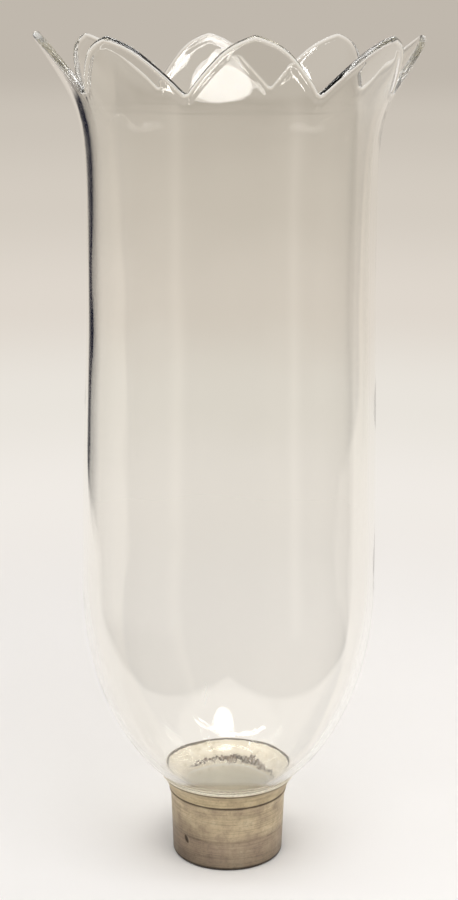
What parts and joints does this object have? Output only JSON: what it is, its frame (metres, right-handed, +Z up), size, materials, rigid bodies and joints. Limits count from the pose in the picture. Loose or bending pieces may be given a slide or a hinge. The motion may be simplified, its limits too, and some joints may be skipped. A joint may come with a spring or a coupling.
{
  "type": "hurricane lamp globe",
  "caption": "Clear glass hurricane globe with a rounded bowl, a flared petal-cut rim and a neck set in plaster in a brass ferrule.",
  "frame": {"origin": "centre of the ferrule's base, on the axis, in the plane that the globe stands on", "axes": "+Z up along the axis from ferrule to rim; one petal's middle on each of +X, +Y, -X and -Y"},
  "size_m": [0.1352, 0.1352, 0.3012],
  "materials": {
    "clear_glass": "clear blown glass, fire-polished rim",
    "aged_brass": "spun brass with a dull grey-brown patina",
    "plaster": "rough cream plaster with brown stains on its upper edge"
  },
  "bodies": {
    "root": {"glass_globe": "clear_glass", "ferrule": "aged_brass", "plaster_fill": "plaster"}
  },
  "joints": []
}
